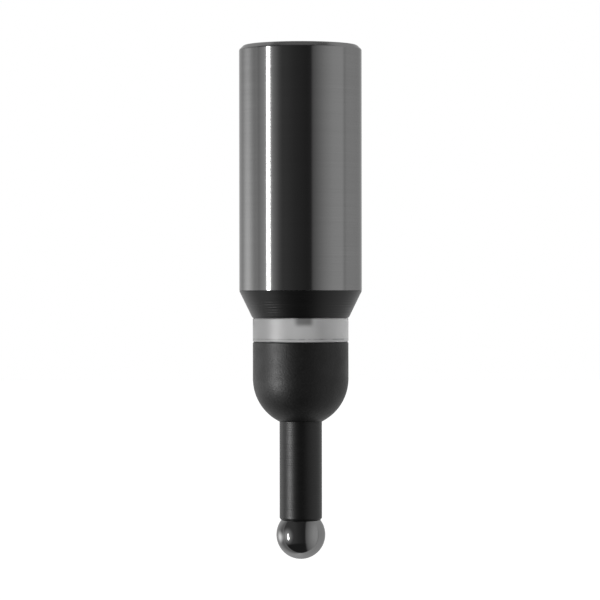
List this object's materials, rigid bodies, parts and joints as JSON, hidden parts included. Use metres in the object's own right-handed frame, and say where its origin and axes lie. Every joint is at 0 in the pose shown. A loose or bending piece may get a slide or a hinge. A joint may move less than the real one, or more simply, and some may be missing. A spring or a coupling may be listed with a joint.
{
  "type": "optical edge finder",
  "caption": "Optical edge finder: cylindrical steel shank, black screwed head with a clear light ring, and a spring-seated steel probing ball on a slim tube.",
  "frame": {"origin": "on the shank's axis, in the shoulder plane where the shank ends and the black head begins", "axes": "+Z along the shank's axis, from the probing ball up to the shank's end; the lamp that shows in the clear ring faces -Y"},
  "size_m": [0.025, 0.025, 0.1047],
  "materials": {
    "ground_steel": "satin ground finish with fine lines round the shank",
    "black_metal": "black anodised, fine turned lines",
    "clear_plastic": "clear, polished",
    "pale_plastic": "pale, satin",
    "lamp_lens": "smoky lens of an unlit lamp",
    "board": "green lacquer",
    "resistor_ceramic": "black with bright ends",
    "brass": "bright turned",
    "spring_steel": "drawn wire and stamped strip",
    "rubber_seal": "matt black",
    "white_liner": "plain white tube",
    "battery_jacket": "plain dark jacket with bright ends",
    "polished_steel": "hardened, ground and polished"
  },
  "bodies": {
    "shank": {"shank_sleeve": "ground_steel", "battery_liner": "white_liner", "battery": "battery_jacket", "battery_spring": "spring_steel"},
    "seal": {"seal_ring": "rubber_seal"},
    "head": {"cone_collar": "black_metal", "light_ring": "clear_plastic", "led_carrier": "pale_plastic", "led_1": "lamp_lens", "led_2": "lamp_lens", "led_3": "lamp_lens", "led_4": "lamp_lens", "circuit_board": "board", "resistor": "resistor_ceramic", "board_lock_ring": "brass", "battery_contact": "brass", "probe_contact_pin": "brass", "probe_housing": "black_metal", "stylus_tube": "black_metal", "contact_plug": "brass"},
    "swivel": {"spring_anchor": "brass", "tension_spring": "spring_steel"},
    "ball": {"ball": "polished_steel", "ball_eye": "spring_steel"}
  },
  "joints": [
    {"name": "head_travel", "type": "slide", "parent": "shank", "child": "seal", "axis": [0, 0, -1], "range_m": [0, 0.006]},
    {"name": "head_turn", "type": "hinge", "parent": "seal", "child": "head", "pos_m": [0, 0, 0], "axis": [0, 0, -1], "range_deg": [0, 2160]},
    {"name": "ball_swivel", "type": "hinge", "parent": "head", "child": "swivel", "pos_m": [0, 0, -0.05], "axis": [0, 0, 1], "continuous": true},
    {"name": "ball_tilt", "type": "hinge", "parent": "swivel", "child": "ball", "pos_m": [0.00398, 0, -0.04662], "axis": [0, -1, 0], "range_deg": [0, 40], "stiffness_Nm_per_rad": 0.002, "springref_deg": -17.19, "deforming": ["tension_spring"]}
  ],
  "couplings": [
    {"joint": "head_travel", "follows": "head_turn", "m_per_rad": 0.00015915}
  ]
}
